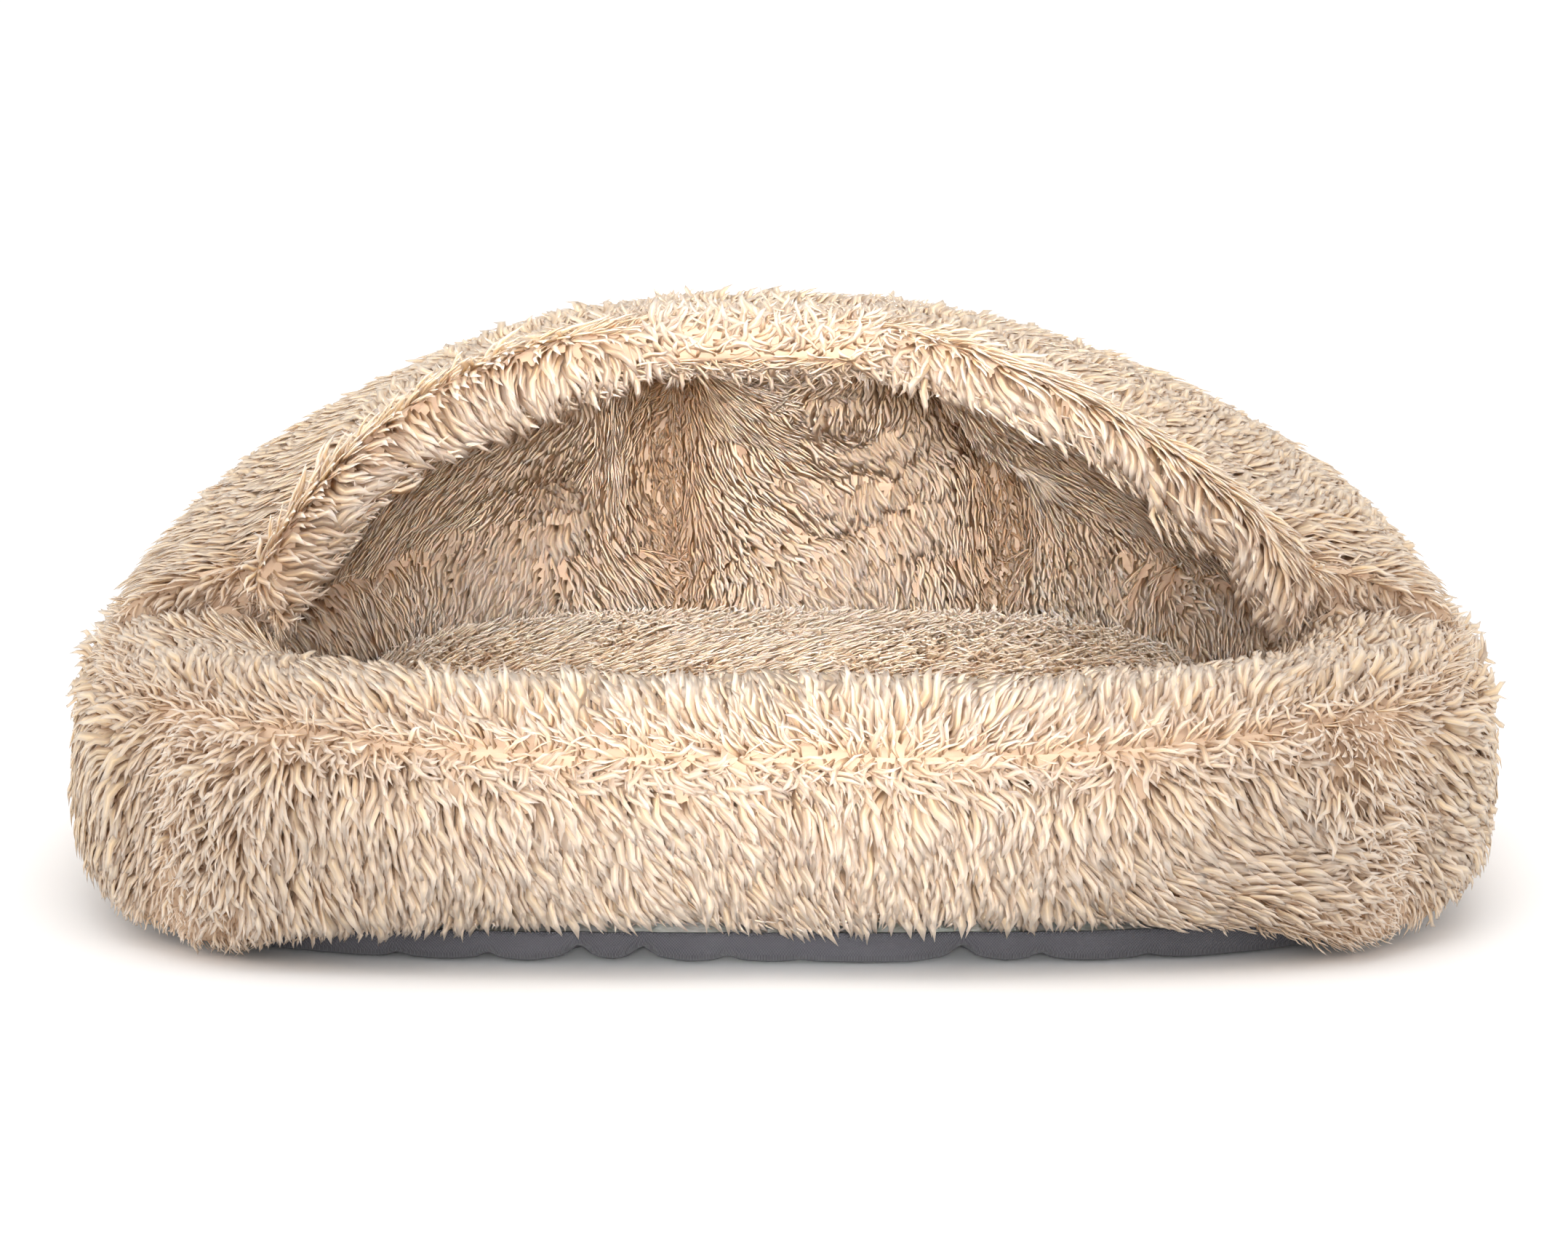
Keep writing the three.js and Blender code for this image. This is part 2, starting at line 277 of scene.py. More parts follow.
def edge_outline(node, stations, height):
    """The outer edge of a flat piece at a height, as points spread evenly from the middle of the front,
    turning right, and the edge's length."""
    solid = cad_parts[node].data
    tree = BVHTree.FromPolygons([v.co.copy() for v in solid.vertices],
                                [tuple(p.vertices) for p in solid.polygons])
    points = []
    for i in range(stations * 2):
        angle = math.pi * i / stations
        inwards = Vector((-math.sin(angle), math.cos(angle), 0))
        hit = tree.ray_cast(Vector((0, 0, height)) - inwards, inwards)[0]
        points.append(hit)
    steps = [0.0]
    for a, b in zip(points, points[1:] + points[:1]):
        steps.append(steps[-1] + (b - a).length)
    even = []
    j = 0
    for i in range(stations):
        want = steps[-1] * i / stations
        while steps[j + 1] < want:
            j += 1
        share = (want - steps[j]) / (steps[j + 1] - steps[j])
        even.append(points[j].lerp(points[(j + 1) % len(points)], share))
    return even, steps[-1]


outline, edge_length = edge_outline("sole_cloth", SOLE_STATIONS, SOLE_TOP - 0.0006)
draw = random.Random(7)
tucks = [(s % edge_length, depth) for s, depth in FRONT_TUCKS]
along_edge = FRONT_HALF_LENGTH
while along_edge < edge_length - FRONT_HALF_LENGTH:
    tucks.append((along_edge, draw.uniform(0.3, 1.0)))
    along_edge += draw.uniform(0.03, 0.075)


def fade(value, start, end):
    """0 up to start, 1 from end on, and smooth between."""
    share = min(max((value - start) / (end - start), 0.0), 1.0)
    return share * share * (3 - 2 * share)


def tucked(along_edge):
    """How far the edge is drawn up at a place along it, from 0 in a lobe to 1 in a deep tuck."""
    drawn = 0.0
    for place, depth in tucks:
        away = abs((along_edge - place + edge_length / 2) % edge_length - edge_length / 2)
        sharp = math.exp(-((away / TUCK_POINT_WIDTH) ** 2))
        broad = math.exp(-((away / TUCK_FOOT_WIDTH) ** 2))
        drawn = max(drawn, depth * (0.6 * sharp + 0.4 * broad))
    return drawn


drawn_up = [tucked(edge_length * i / SOLE_STATIONS) for i in range(SOLE_STATIONS)]
edge_normals = []
for i in range(SOLE_STATIONS):
    onward = outline[(i + 1) % SOLE_STATIONS] - outline[i - 1]
    edge_normals.append(Vector((onward.y, -onward.x, 0)).normalized())


def stuffed_edge(i, climb, set_in):
    """A point on the pan's rounded edge: climb is 0 at the flat sole and 1 at the top of the edge."""
    rise = climb * climb
    inset = EDGE_ROUNDING * (1 - math.sqrt(1 - (1 - rise) ** 2))
    puff = SOLE_PUFF * math.sin(math.pi * min(1, climb + 0.12)) * (1 - drawn_up[i])
    out = puff - inset - TUCK_PULL * drawn_up[i] * (1 - 0.6 * rise) - set_in
    point = outline[i] + edge_normals[i] * out
    point.z = rise * SOLE_EDGE_TOP + TUCK_LIFT * drawn_up[i] * (1 - rise) ** 2 + OFF_THE_FLOOR
    return point


def pan_rows(set_in):
    """The pan's surface as rows of points, from the middle of the sole out and up to its edge."""
    rows = []
    for share in (0.15, 0.4, 0.62, 0.78, 0.88, 0.95):
        row = []
        for i in range(SOLE_STATIONS):
            point = stuffed_edge(i, 0, set_in) * share
            point.z = OFF_THE_FLOOR + set_in + TUCK_LIFT * drawn_up[i] * fade(share, 0.8, 1.0)
            row.append(point)
        rows.append(row)
    for climb in (0, 0.12, 0.26, 0.42, 0.58, 0.75, 0.9, 1):
        row = [stuffed_edge(i, climb, set_in) for i in range(SOLE_STATIONS)]
        for point in row:
            point.z += set_in * (1 - climb)
        rows.append(row)
    return rows


def skinned(name, rows, finish):
    """A closed skin over rings of points, with its two ends drawn to their middles."""
    count = len(rows[0])
    verts = [point for row in rows for point in row]
    faces = []
    for r in range(len(rows) - 1):
        for i in range(count):
            j = (i + 1) % count
            faces.append((r * count + i, r * count + j, (r + 1) * count + j, (r + 1) * count + i))
    for row, backwards in ((0, True), (len(rows) - 1, False)):
        verts.append(sum(rows[row], Vector()) / count)
        for i in range(count):
            a, b = row * count + i, row * count + (i + 1) % count
            faces.append((b, a, len(verts) - 1) if backwards else (a, b, len(verts) - 1))
    mesh = bpy.data.meshes.new(name)
    mesh.from_pydata([tuple(v) for v in verts], [], faces)
    return rounded_off(mesh, name, finish)


def faced_outwards(mesh):
    work = bmesh.new()
    work.from_mesh(mesh)
    bmesh.ops.recalc_face_normals(work, faces=work.faces)
    work.to_mesh(mesh)
    work.free()


def rounded_off(mesh, name, finish):
    """Turns the mesh's faces outwards and shows it smooth."""
    faced_outwards(mesh)
    mesh.shade_smooth()
    return show(mesh, name, finish)


def fitted(piece, body, node):
    """Attaches a soft piece to the body it rides and hides the solid it stands in for."""
    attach(piece, body)
    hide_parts(node)


sole = skinned("sole", pan_rows(0) + pan_rows(SOLE_CLOTH)[::-1], canvas)
fitted(sole, "bed", "sole_cloth")


# ---- wadding ----
# Loose polyester fibre fills the base, the bolster, the hood, its rim and the cushion. Each filling is
# a soft lump inside its cover, a little smaller than the room it has.
WADDING_ROOM = 0.005
WADDING_LUMPS = 0.0008
BASE_WADDING_ROOM = 0.0006
WELD = 0.00001

fibre = Finish("filling_fibre", Roughness=1.0)
tangle = fibre.noise(fibre.place(), 260, 6)
fibre.colour(fibre.mix(fibre.between(tangle, 0.3, 0.7), linear(212, 208, 200), linear(244, 242, 238)))
fibre.relief(tangle, 0.0012)


def settled(made):
    """The object with its modifiers worked into a plain mesh."""
    bpy.context.view_layer.update()
    seen = made.evaluated_get(bpy.context.evaluated_depsgraph_get())
    mesh = bpy.data.meshes.new_from_object(seen)
    old = made.data
    made.modifiers.clear()
    made.data = mesh
    bpy.data.meshes.remove(old)
    return made


def subdivided(made, levels):
    rounding = made.modifiers.new("rounding", "SUBSURF")
    rounding.levels = rounding.render_levels = levels
    return settled(made)


def welded(node):
    """A working copy of a solid, with its triangles merged and joined to quads."""
    work = bmesh.new()
    work.from_mesh(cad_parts[node].data)
    bmesh.ops.remove_doubles(work, verts=work.verts, dist=WELD)
    bmesh.ops.join_triangles(work, faces=work.faces, angle_face_threshold=math.pi,
                             angle_shape_threshold=math.pi)
    work.normal_update()
    return work


def softened(node, name, finish, set_in, lumps, levels=1):
    """A copy of a soft piece's solid, set in from its neighbours, rounded and slightly lumpy."""
    work = welded(node)
    for v, normal in [(v, v.normal.copy()) for v in work.verts]:
        v.co -= normal * (set_in + lumps * (0.5 + noise.noise(v.co * 45)))
    mesh = bpy.data.meshes.new(name)
    work.to_mesh(mesh)
    work.free()
    made = rounded_off(mesh, name, finish)
    return subdivided(made, levels)


def wadding(node, body):
    name = node.replace("_filling", "").replace("_padding", "") + "_wadding_lump"
    lump = softened(node, name, fibre, WADDING_ROOM, WADDING_LUMPS)
    fitted(lump, body, node)


for node in ("front_bolster_filling", "left_bolster_filling", "right_bolster_filling",
             "back_bolster_filling", "hood_right_padding", "hood_middle_padding",
             "hood_left_padding", "hood_rim_core"):
    wadding(node, "bed")
wadding("cushion_filling", "seat_cushion")

# The base's own wadding follows the tucks of the pan that holds it.
base_fill = skinned("base_wadding_lump", pan_rows(SOLE_CLOTH + BASE_WADDING_ROOM)[:-2], fibre)
fitted(base_fill, "bed", "base_wadding")


# ---- plain inner cloths ----
# A beige plain-woven cloth closes the base inside the bed, under the cushion, and the same cloth makes
# the underside of the cushion, where neither is seen in use.
inner_cloth = woven("beige_cloth", linear(206, 186, 158), linear(170, 150, 124), Roughness=0.9)

for node, body in (("floor_cloth", "bed"), ("cushion_underside", "seat_cushion")):
    cloth = softened(node, node + "_sewn", inner_cloth, 0.0, 0.0, levels=2)
    fitted(cloth, body, node)


# ---- bolster walls ----
# Four panels of fur stand round the bed, sewn to each other at the corners. The fur is an acrylic pile
# a finger's width long on a tan knitted backing, and it clumps into flat, wavy, tapering locks. It is
# brushed down at the front and backwards at the sides, and is shorter by the base.
PILE_LENGTH = 0.0215
LOCKS_PER_M2 = 112000
# The backing's own tan is darkened as painted shade, so that where it shows between the locks at the seams
# it reads as shadow.
BACKING_DARKENED_AS_SHADE = linear(196, 168, 142)
ROOT = linear(229, 191, 155)
MIDDLE = linear(239, 208, 177)
TIP = linear(247, 227, 206)
STREAK_TINT = (0.92, 0.86, 0.79)
LOCK_TINT = (0.92, 0.85, 0.77)
PATCH_TINT = (0.96, 0.91, 0.85)
# Painted shade: the tint that darkens the pile in the lining's seam valleys, where shade falls.
PAINTED_SHADE_TINT = (0.62, 0.48, 0.36)

backing = Finish("fur_backing", Roughness=1.0)
backing.colour(backing.mix(backing.noise(backing.place(), 300), BACKING_DARKENED_AS_SHADE, linear(208, 182, 156)))

pile = Finish("fur_pile", Roughness=0.9, Specular_IOR_Level=0.03, Subsurface_Weight=0.5,
              Subsurface_Radius=(1.0, 0.75, 0.5), Subsurface_Scale=0.006)
along = pile.attribute("along")
across = pile.attribute("across")
tone = pile.attribute("tone")
pile_place = pile.place()
strand = pile.node("ShaderNodeCombineXYZ", None, {0: across * 3.0, 1: along * 0.8, 2: tone * 40.0})
hairs = pile.between(pile.noise(strand, 3.0, 2), 0.3, 0.7)
body_colour = pile.mix(pile.between(along, 0.1, 0.6), ROOT, MIDDLE)
tipped = pile.mix(pile.between(along, 0.5, 1.0), body_colour, TIP)
streaked = pile.mix((1 - hairs) * 0.5, tipped, STREAK_TINT, "MULTIPLY")
shaded = pile.mix((1 - tone) * 0.4, streaked, LOCK_TINT, "MULTIPLY")
patches = pile.between(pile.noise(pile_place, 14, 1), 0.35, 0.7)
patched = pile.mix(patches * 0.3, shaded, PATCH_TINT, "MULTIPLY")
# Painted shade: the last mix darkens the pile towards that tint in the lining's seam valleys.
pile.colour(pile.mix(pile.attribute("fold"), patched, PAINTED_SHADE_TINT, "MULTIPLY"))


LOCK_SIDES = 3
LOCK_RINGS = 4
LOCK_STEPS = 24
LOCK_THICKNESS = 0.32


def lock(name, half_width, lean, curl, wave, phase):
    """One lock of unit length as a closed, flat, tapering spike. It leaves the backing at the first
    angle of lean and lies over to the second, towards +X, and sways by wave."""
    path = []
    place = Vector((0, 0, 0))
    for i in range(LOCK_STEPS + 1):
        share = i / LOCK_STEPS
        angle = math.radians(lean + (curl - lean) * share)
        path.append((share, place.copy(), angle))
        sideways = wave * math.cos(2 * math.pi * share * 1.05 + phase)
        place = place + Vector((math.sin(angle), sideways, math.cos(angle))) / LOCK_STEPS
    verts, faces, shares, sides = [], [], [], []
    for ring in range(LOCK_RINGS):
        share, centre, angle = path[round(LOCK_STEPS * ring / LOCK_RINGS)]
        wide = half_width * (0.6 + 1.5 * share - 1.8 * share * share)
        outward = Vector((-math.cos(angle), 0, math.sin(angle)))
        for side in range(LOCK_SIDES):
            turn = 2 * math.pi * (side + 0.25) / LOCK_SIDES
            flat_way = Vector((0, wide * math.cos(turn), 0))
            verts.append(centre + flat_way + outward * wide * LOCK_THICKNESS * math.sin(turn))
            shares.append(share)
            sides.append(0.5 + 0.5 * math.cos(turn))
    verts.append(path[-1][1])
    shares.append(1.0)
    sides.append(0.5)
    for ring in range(LOCK_RINGS - 1):
        for side in range(LOCK_SIDES):
            a = ring * LOCK_SIDES + side
            b = ring * LOCK_SIDES + (side + 1) % LOCK_SIDES
            faces.append((a, b, b + LOCK_SIDES, a + LOCK_SIDES))
    last = (LOCK_RINGS - 1) * LOCK_SIDES
    for side in range(LOCK_SIDES):
        faces.append((last + side, last + (side + 1) % LOCK_SIDES, len(verts) - 1))
    faces.append(tuple(reversed(range(LOCK_SIDES))))
    mesh = bpy.data.meshes.new(name)
    mesh.from_pydata(verts, [], faces)
    faced_outwards(mesh)
    mesh.attributes.new("along", "FLOAT", "POINT").data.foreach_set("value", shares)
    mesh.attributes.new("across", "FLOAT", "POINT").data.foreach_set("value", sides)
    return bpy.data.objects.new(name, mesh)


LOCK_SHAPES = (
    # half width, lean, curl, wave, phase
    (0.098, 69, 94, 0.46, 0.0),
    (0.086, 65, 95, 0.40, 1.0),
    (0.110, 71, 93, 0.48, 2.1),
    (0.080, 67, 92, 0.44, 3.1),
    (0.100, 69, 94, 0.38, 4.2),
    (0.090, 63, 96, 0.46, 5.2),
)
locks = bpy.data.collections.new("locks")
for number, shape in enumerate(LOCK_SHAPES):
    locks.objects.link(lock(f"lock_{number}", *shape))

PILE_READS = {"comb": "FLOAT_VECTOR", "lift": "FLOAT", "long": "FLOAT", "stray": "FLOAT",
              "wave": "FLOAT", "furry": "FLOAT"}
# How much single locks differ: in how far they stand up, in length and in breadth.
LIFT_VARIES = (-0.10, 0.08)
LENGTH_VARIES = (0.72, 1.15)
BREADTH_VARIES = (0.55, 1.25)


def pile_tree():
    """Plants locks on a panel, each lying as the panel's attributes say at its root."""
    tree = bpy.data.node_groups.new("planted_pile", "GeometryNodeTree")
    face = tree.interface
    face.new_socket("Geometry", in_out="INPUT", socket_type="NodeSocketGeometry")
    sizes_asked = (("Locks per m2", "Float", LOCKS_PER_M2), ("Length", "Float", PILE_LENGTH),
                   ("Seed", "Int", 1))
    for label, kind, value in sizes_asked:
        made = face.new_socket(label, in_out="INPUT", socket_type=f"NodeSocket{kind}")
        made.default_value = value
    face.new_socket("Locks", in_out="INPUT", socket_type="NodeSocketCollection")
    face.new_socket("Pile", in_out="INPUT", socket_type="NodeSocketMaterial")
    face.new_socket("Geometry", in_out="OUTPUT", socket_type="NodeSocketGeometry")

    def node(kind, settings=None, **inputs):
        made = tree.nodes.new(kind)
        for key, setting in (settings or {}).items():
            setattr(made, key, setting)
        for key, value in inputs.items():
            socket = made.inputs[int(key[1:]) if key[1:].isdigit() else key.replace("_", " ")]
            if isinstance(value, bpy.types.NodeSocket):
                tree.links.new(value, socket)
            else:
                socket.default_value = value
        return made

    enter = node("NodeGroupInput").outputs
    read = {name: node("GeometryNodeInputNamedAttribute", {"data_type": kind}, Name=name).outputs[0]
            for name, kind in PILE_READS.items()}

    def maths(operation, a, b):
        return node("ShaderNodeMath", {"operation": operation}, i0=a, i1=b).outputs[0]

    def chance(least, most, offset):
        """A random number for each lock; the offset keeps one draw apart from another."""
        made = node("FunctionNodeRandomValue", {"data_type": "FLOAT"}, i2=least, i3=most)
        tree.links.new(maths("ADD", enter["Seed"], float(offset)), made.inputs["Seed"])
        return made.outputs[1]

    plants = node("GeometryNodeDistributePointsOnFaces", Mesh=enter["Geometry"],
                  Density=maths("MULTIPLY", enter["Locks per m2"], read["furry"]), Seed=enter["Seed"])
    upright = node("FunctionNodeAlignRotationToVector", {"axis": "Z"}, Vector=plants.outputs["Normal"])
    combed = node("FunctionNodeAlignRotationToVector", {"axis": "X", "pivot_axis": "Z"},
                  Rotation=upright.outputs[0], Vector=read["comb"])
    turned = node("ShaderNodeCombineXYZ", Y=maths("SUBTRACT", chance(*LIFT_VARIES, 11), read["lift"]),
                  Z=maths("MULTIPLY", chance(-1.0, 1.0, 23), read["stray"]))
    spin = node("FunctionNodeEulerToRotation", i0=turned.outputs[0])
    rotation = node("FunctionNodeRotateRotation", {"rotation_space": "LOCAL"},
                    Rotation=combed.outputs[0], Rotate_By=spin.outputs[0])
    share = maths("MULTIPLY", chance(*LENGTH_VARIES, 37), read["long"])
    size = maths("MULTIPLY", share, enter["Length"])
    breadth = maths("MULTIPLY", size, chance(*BREADTH_VARIES, 91))
    sizes = node("ShaderNodeCombineXYZ", X=size, Y=breadth, Z=size)
    kept = node("GeometryNodeStoreNamedAttribute", {"data_type": "FLOAT", "domain": "POINT"},
                Geometry=plants.outputs["Points"], Name="tone", Value=chance(0.0, 1.0, 53))
    shapes = node("GeometryNodeCollectionInfo", Collection=enter["Locks"], Separate_Children=True,
                  Reset_Children=True)
    phase = maths("ADD", read["wave"], chance(-1.0, 1.0, 71))
    picked = node("ShaderNodeMath", {"operation": "WRAP"}, i0=phase, i1=float(len(LOCK_SHAPES)), i2=0.0)
    planted = node("GeometryNodeInstanceOnPoints", Points=kept.outputs[0], Instance=shapes.outputs[0],
                   Pick_Instance=True, Instance_Index=picked.outputs[0], Rotation=rotation.outputs[0],
                   Scale=sizes.outputs[0])
    real = node("GeometryNodeRealizeInstances", Geometry=planted.outputs[0])
    coloured = node("GeometryNodeSetMaterial", Geometry=real.outputs[0], Material=enter["Pile"])
    smooth = node("GeometryNodeSetShadeSmooth", Geometry=coloured.outputs[0])
    both = node("GeometryNodeJoinGeometry")
    tree.links.new(enter["Geometry"], both.inputs[0])
    tree.links.new(smooth.outputs[0], both.inputs[0])
    tree.links.new(both.outputs[0], node("NodeGroupOutput").inputs[0])
    return tree


PILE_TREE = pile_tree()

# Every solid, to tell a panel's open side from the sides that lie against its neighbours.
solid_trees = {}
for solid_name, solid_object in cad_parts.items():
    solid_trees[solid_name] = BVHTree.FromPolygons(
        [v.co.copy() for v in solid_object.data.vertices],
        [tuple(p.vertices) for p in solid_object.data.polygons],
    )


def clear_way(name, place, direction):
    """How far a panel's point is from the next solid along its own normal."""
    nearest = 1.0
    for other, tree in solid_trees.items():
        if other != name:
            hit = tree.ray_cast(place + direction * 0.0001, direction, CLEAR_REACH)
            if hit[0] is not None:
                nearest = min(nearest, hit[3])
    return nearest


CLEAR_REACH = 0.05
HIDDEN_WITHIN = 0.003
SEAM_FOLD = 0.9
SEAM_CREASE = 0.8
INSET_AT_SEAM = 0.45
THICKNESS_KEPT = 0.5


def panel(node, inset, facing=None, levels=2):
    """The backing of one sewn panel: its solid, set in by the depth of the pile and rounded. It keeps
    how open each point is, and how far the point is from the nearest seam."""
    work = welded(node)
    open_face = {}
    for f in work.faces:
        middle = f.calc_center_median()
        seen = facing is None or f.normal.dot(facing - middle) > 0
        open_face[f] = seen and clear_way(node, middle, f.normal) > HIDDEN_WITHIN
    own = solid_trees[node]
    layer = work.verts.layers.float.new("furry")
    shifts = {}
    for v in work.verts:
        outer = [f for f in v.link_faces if open_face[f]]
        v[layer] = len(outer) / len(v.link_faces)
        if not outer:
            continue
        normal = sum((f.normal * f.calc_area() for f in outer), Vector()).normalized()
        through = own.ray_cast(v.co - normal * 0.0003, -normal, 0.2)[3] or 0.2
        depth = min(inset * (1 if v[layer] == 1 else INSET_AT_SEAM), through * THICKNESS_KEPT)
        shifts[v] = normal * -depth
    for v, shift in shifts.items():
        v.co += shift
    sharp = work.edges.layers.float.new("crease_edge")
    for edge in work.edges:
        if edge.is_manifold and edge.calc_face_angle() > SEAM_FOLD:
            edge[sharp] = SEAM_CREASE
    mesh = bpy.data.meshes.new(node + "_panel")
    work.to_mesh(mesh)
    work.free()
    made = show(mesh, node + "_panel", backing)
    subdivided(made, levels)
    measure_seams(made)
    return made


def measure_seams(made):
    """Keeps, at each point of a panel, how far and which way its nearest seam lies. Seams on the far
    side of a thin panel don't count."""
    mesh = made.data
    furry = mesh.attributes["furry"].data
    on_seam = [v for v in mesh.vertices if 0.3 < furry[v.index].value < 0.7]
    seams = KDTree(len(on_seam))
    for v in on_seam:
        seams.insert(v.co, v.index)
    seams.balance()
    away, from_seam = [], []
    for v in mesh.vertices:
        same_side = [(distance, v.co - place) for place, index, distance in seams.find_n(v.co, 24)
                     if mesh.vertices[index].normal.dot(v.normal) > -0.3]
        distance, offset = min(same_side, key=lambda found: found[0], default=(0.05, Vector()))
        away.append(distance)
        from_seam.extend(offset)
    mesh.attributes.new("seam", "FLOAT", "POINT").data.foreach_set("value", away)
    mesh.attributes.new("from_seam", "FLOAT_VECTOR", "POINT").data.foreach_set("vector", from_seam)


UNDER_EASING = 0.003
EASED_BEYOND = 0.004


def eased(made, rounds):
    """Lets a panel's open side run smoothly over what is under it."""
    work = bmesh.new()
    work.from_mesh(made.data)
    furry = work.verts.layers.float["furry"]
    seam = work.verts.layers.float["seam"]
    loose = [v for v in work.verts if v[furry] > 0.99 and v[seam] > EASED_BEYOND]
    for _ in range(rounds):
        bmesh.ops.smooth_vert(work, verts=loose, factor=0.5, use_axis_x=True, use_axis_y=True,
                              use_axis_z=True)
    for v in work.verts:
        if v[furry] < 0.02:
            v.co += v.normal * UNDER_EASING
    work.to_mesh(made.data)
    work.free()


CROWN_FALL = 0.8


def crown(made, rise, reach, back=None):
    """Rounds a panel's open side up between its seams, as its filling does."""
    mesh = made.data
    furry, seam = (mesh.attributes[name].data for name in ("furry", "seam"))
    normals = [v.normal.copy() for v in mesh.vertices]
    for v in mesh.vertices:
        share = min(seam[v.index].value / reach, 1)
        arch = (1 - (1 - share) ** 2) ** CROWN_FALL
        if back:
            arch *= fade(v.co.y, *back)
        v.co += normals[v.index] * rise * arch * fade(furry[v.index].value, 0.5, 1)
    mesh.update()


CLOTH_STEPS = 20
CLOTH_PRESSURE = 4.0


def stuffed(made, swell):
    """Fills a panel: its open side swells between the seams, which stay where they are sewn, and no
    point moves further than swell."""
    mesh = made.data
    count = len(mesh.vertices)
    before = np.zeros(count * 3)
    mesh.vertices.foreach_get("co", before)
    furry = np.zeros(count)
    mesh.attributes["furry"].data.foreach_get("value", furry)
    sewn = made.vertex_groups.new(name="sewn")
    for index, share in enumerate(furry):
        sewn.add([index], float(np.clip((0.97 - share) / 0.25, 0, 1)), "REPLACE")
    cloth = made.modifiers.new("cloth", "CLOTH")
    cloth.settings.quality = 5
    cloth.settings.mass = 0.3
    cloth.settings.tension_stiffness = 4
    cloth.settings.compression_stiffness = 2
    cloth.settings.bending_stiffness = 0.2
    cloth.settings.use_pressure = True
    cloth.settings.uniform_pressure_force = CLOTH_PRESSURE
    cloth.settings.vertex_group_mass = "sewn"
    cloth.settings.shrink_min = -0.02
    cloth.settings.effector_weights.gravity = 0
    cloth.collision_settings.use_collision = False
    scene = bpy.context.scene
    cloth.point_cache.frame_start, cloth.point_cache.frame_end = 1, CLOTH_STEPS
    for step in range(1, CLOTH_STEPS + 1):
        scene.frame_set(step)
    seen = made.evaluated_get(bpy.context.evaluated_depsgraph_get())
    after = np.zeros(count * 3)
    seen.data.vertices.foreach_get("co", after)
    made.modifiers.remove(cloth)
    scene.frame_set(1)
    moved = (after - before).reshape(-1, 3)
    length = np.linalg.norm(moved, axis=1, keepdims=True)
    moved *= np.minimum(1, swell / np.maximum(length, 1e-9))
    mesh.vertices.foreach_set("co", before + moved.ravel())
    mesh.update()


noise.seed_set(1)


def sway(place, scale, seed):
    """A drift in direction that changes slowly over the fur."""
    return noise.noise_vector(place * scale + Vector((seed, seed * 1.7, -seed)))


SEAM_CURLS = (0.002, 0.010)
SEAM_DENSITY = 0.5
SEAM_HOLD = 0.85
SEAM_LIFT = 0.16
SEAM_SHORTENING = 0.35
LIFT_DRIFT = 0.08
LEAST_STRAY = 0.14
SWAY = 0.55
BROAD_SWAY = 1.5
FINE_SWAY = 0.8
BARE_CUT = 0.85


def comb(made, direction, seed, lift=None, long=None, stray=None, curls=0.45, fold=(0.0, 0.01)):
    """Writes how the pile lies: its direction, how far it stands up, how long it is, how far single
    locks stray from their neighbours, in which phase they wave, and how much painted shade darkens it
    near a seam."""
    mesh = made.data
    written = {name: [] for name in ("comb", "lift", "long", "stray", "wave", "fold")}
    seams = mesh.attributes["seam"].data
    offsets = mesh.attributes["from_seam"].data
    for v in mesh.vertices:
        by_seam = 1 - fade(seams[v.index].value, *SEAM_CURLS)
        broad = sway(v.co, 13, seed)
        fine = sway(v.co, 42, seed + 5)
        aim = Vector(direction(v.co)).normalized() + (broad * BROAD_SWAY + fine * FINE_SWAY) * SWAY
        along_seam = v.normal.cross(offsets[v.index].vector)
        if along_seam.length > 1e-6:
            along_seam.normalize()
            side = 1 if along_seam.dot(aim) > 0 else -1
            aim = aim.normalized().lerp(along_seam * side, SEAM_HOLD * by_seam)
        aim -= v.normal * aim.dot(v.normal)
        written["comb"].extend(aim.normalized() if aim.length > 1e-6 else (0, 0, -1))
        raised = lift(v.co) if lift else 0.0
        written["lift"].append(raised + SEAM_LIFT * by_seam + LIFT_DRIFT * noise.noise(v.co * 30))
        written["long"].append((long(v.co) if long else 1.0) * (1 - SEAM_SHORTENING * by_seam))
        loose = stray(v.co) if stray else 0.0
        written["stray"].append(LEAST_STRAY + max(curls * by_seam, loose))
        # Painted shade: darker pile close to a seam and towards the back, where the valleys lie in shade.
        folded = fold[0] * (1 - fade(seams[v.index].value, 0, fold[1]))
        written["fold"].append(folded * fade(v.co.y, 0.0, 0.07))
        written["wave"].append(3.0 + 5.0 * noise.noise(v.co * 28 + Vector((seed, 0, 0))))
    for name, values in written.items():
        kind, field = ("FLOAT_VECTOR", "vector") if name == "comb" else ("FLOAT", "value")
        mesh.attributes.new(name, kind, "POINT").data.foreach_set(field, values)


def plant(made, seed, density, length, bare=None):
    """Grows the pile on a panel and makes the two one plain mesh."""
    mesh = made.data
    furry = np.zeros(len(mesh.vertices))
    mesh.attributes["furry"].data.foreach_get("value", furry)
    seam = np.zeros(len(mesh.vertices))
    mesh.attributes["seam"].data.foreach_get("value", seam)
    thicker = 1 + SEAM_DENSITY * np.clip(1 - seam / SEAM_CURLS[1], 0, 1)
    if bare:
        thicker *= np.array([1 - BARE_CUT * bare(v.co) for v in mesh.vertices])
    mesh.attributes["furry"].data.foreach_set("value", np.clip(furry / 0.2, 0, 1) * thicker)
    pile_modifier = made.modifiers.new("pile", "NODES")
    pile_modifier.node_group = PILE_TREE
    sockets = {s.name: s.identifier for s in PILE_TREE.interface.items_tree if s.in_out == "INPUT"}
    settings = {"Locks per m2": LOCKS_PER_M2 * density, "Length": PILE_LENGTH * length, "Seed": seed,
                "Locks": locks, "Pile": pile.material}
    for label, value in settings.items():
        pile_modifier[sockets[label]] = value
    settled(made)
    for name in (*PILE_READS, "seam", "from_seam"):
        found = made.data.attributes.get(name)
        if found:
            made.data.attributes.remove(found)


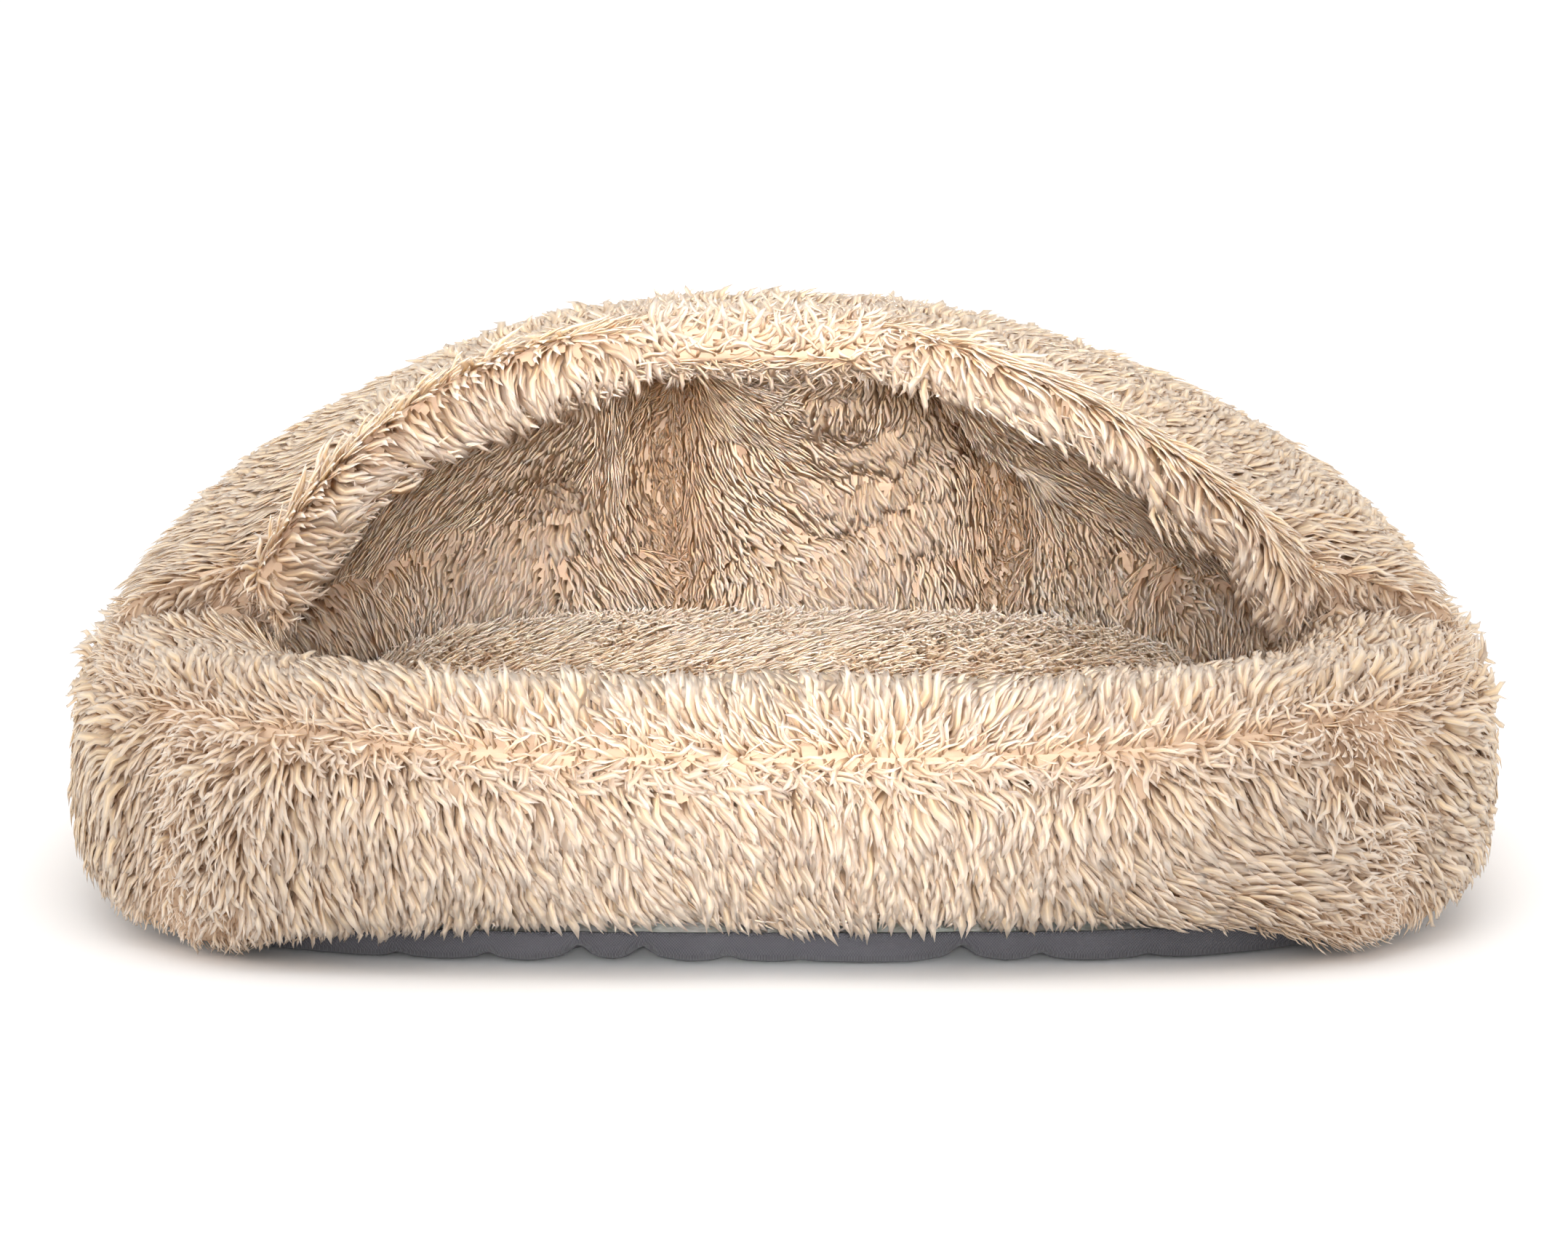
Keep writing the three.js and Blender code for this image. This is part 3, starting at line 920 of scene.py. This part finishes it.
def dress(node, body, direction, seed, inset=0.0046, density=1.0, length=1.0, swell=0.004, puff=None,
          easing=0, bare=None, facing=None, **combing):
    """Makes one fur panel from its solid: backing, crown, filling, combing and pile, in that order."""
    made = panel(node, inset, facing)
    if easing:
        eased(made, easing)
    if puff:
        crown(made, *puff)
    stuffed(made, swell)
    comb(made, direction, float(seed), **combing)
    plant(made, seed, density, length, bare)
    made.name = made.data.name = node.replace("_fur", "") + "_pile"
    fitted(made, body, node)


WALL_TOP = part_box("front_wall_fur")[1].z
CORNER_X = 0.80 * width / 2


def at_corner(place):
    return fade(abs(place.x), CORNER_X - 0.055, CORNER_X - 0.01)


def wall_comb(place):
    right = fade(place.x, 0.04, 0.16) * fade(place.z, 0.075, 0.045)
    return (0.15 + 0.9 * right, 0.0, -1.0 + 0.4 * right)


def wall_lift(place):
    return max(at_corner(place) * 0.45, fade(place.z, WALL_TOP - 0.016, WALL_TOP - 0.002) * 0.4)


def wall_length(place):
    return (0.55 + 0.45 * fade(place.z, 0.015, 0.04)) * (1 - 0.2 * at_corner(place))


def wall_stray(place):
    return 0.9 * at_corner(place)


def side_comb(place):
    return (0.0, 0.75, -0.7)


def side_length(place):
    return 0.55 + 0.45 * fade(place.z, 0.012, 0.045)


def side_lift(place):
    return 0.45 * fade(place.z, 0.088, 0.104) * fade(place.y, -0.08, -0.04) - 0.10


dress("front_wall_fur", "bed", wall_comb, 1, swell=0.003, density=1.15, lift=wall_lift,
      long=wall_length, stray=wall_stray, curls=0.9)
for seed, side in ((2, "left"), (3, "right")):
    dress(f"{side}_wall_fur", "bed", side_comb, seed, inset=0.008, swell=0.0015, density=0.76,
          lift=side_lift, long=side_length)
dress("back_wall_fur", "bed", wall_comb, 4, density=0.62, lift=side_lift, long=side_length)


# ---- front top panel ----
# One fur panel covers the front of the bolster from the seam over the top to its foot inside. Its
# pile is brushed up and back, away from the seam.
def behind_cushion(place):
    return fade(place.z, 0.070, 0.058) * fade(place.y, low.y + 0.05, low.y + 0.07)


def top_comb(place):
    return (2.6 * place.x, 1.0, 0.3)


def top_lift(place):
    return 0.3 * fade(place.y, low.y + 0.026, low.y + 0.008)


dress("front_top_fur", "bed", top_comb, 5, inset=0.0055, swell=0.003, density=0.85, lift=top_lift,
      curls=0.8, bare=behind_cushion)


# ---- hood ----
# Three fur gores make the outside of the hood, from the rim back and down to the bolster.
def hood_comb(place):
    falling = fade(place.z, 0.150, 0.112)
    return ((3.0 - 2.2 * falling) * place.x, 1.0 - 0.6 * falling, -0.5 - 0.7 * falling)


def hood_length(place):
    return 1 - 0.4 * fade(place.z, 0.135, 0.110) * fade(place.y, 0.04, -0.02)


for number, side in enumerate(("left", "middle", "right")):
    dress(f"hood_{side}_fur", "bed", hood_comb, 10 + number, inset=0.0055, swell=0.002, density=0.72,
          long=hood_length)


# ---- lining ----
# Three stuffed fur panels line the hood and the inside of the bolster down to the seat. Each is a
# deep pillow, with a valley at each seam, where shade is painted into the pile, darkest at the seam
# and towards the back.
CAVE_MIDDLE = Vector((0, 0, 0.12))


def lining_comb(place):
    return (0.3 + 4.0 * place.x, 0.0, -1.0)


# Painted shade darkens the lining's pile in its seam valleys.
for number, side in enumerate(("left", "middle", "right")):
    dress(f"lining_{side}_fur", "bed", lining_comb, 20 + number, density=0.8, length=0.8, swell=0.008,
          puff=(0.026, 0.046, (0.0, 0.09)), easing=30, fold=(0.8, 0.018), bare=behind_cushion,
          facing=CAVE_MIDDLE)


# ---- rim roll ----
# A narrow strip of fur is wrapped round a soft core along the hood's mouth. Its pile lies inwards
# over the lining on the left, runs along the rim on the right and stands up in the middle.
def at_top(place):
    return 1 - fade(abs(place.x + 0.01), 0.03, 0.10)


def rim_comb(place):
    across = Vector((place.x, 0, place.z - 0.1)).normalized()
    inward = -across
    onward = Vector((across.z, 0, -across.x))
    right = fade(place.x, -0.02, 0.1)
    sideways = inward.lerp(onward * 1.1 + inward * 0.25, right) + Vector((0, -0.35, 0))
    return sideways.lerp(Vector((2 * place.x, 0.3, 0.8)), 0.6 * at_top(place))


def rim_stray(place):
    return 1.3 * at_top(place)


def rim_length(place):
    return 1 - 0.35 * at_top(place)


dress("hood_rim_fur", "bed", rim_comb, 30, inset=0.005, density=1.1, swell=0.003,
      long=rim_length, stray=rim_stray)


# ---- cushion ----
# The loose seat cushion has a fur top over its filling, sewn to the plain underside. Its pile is
# shorter, brushed forwards in waves, and stands up a little.
def cushion_comb(place):
    return (0.75 * math.sin(9 * place.x + 2), -0.8, 0.0)


def cushion_lift(place):
    return 0.22


def cushion_stray(place):
    return 0.6


dress("cushion_fur", "seat_cushion", cushion_comb, 40, density=0.75, length=0.75,
      puff=(0.012, 0.10), curls=0.6, lift=cushion_lift, stray=cushion_stray)
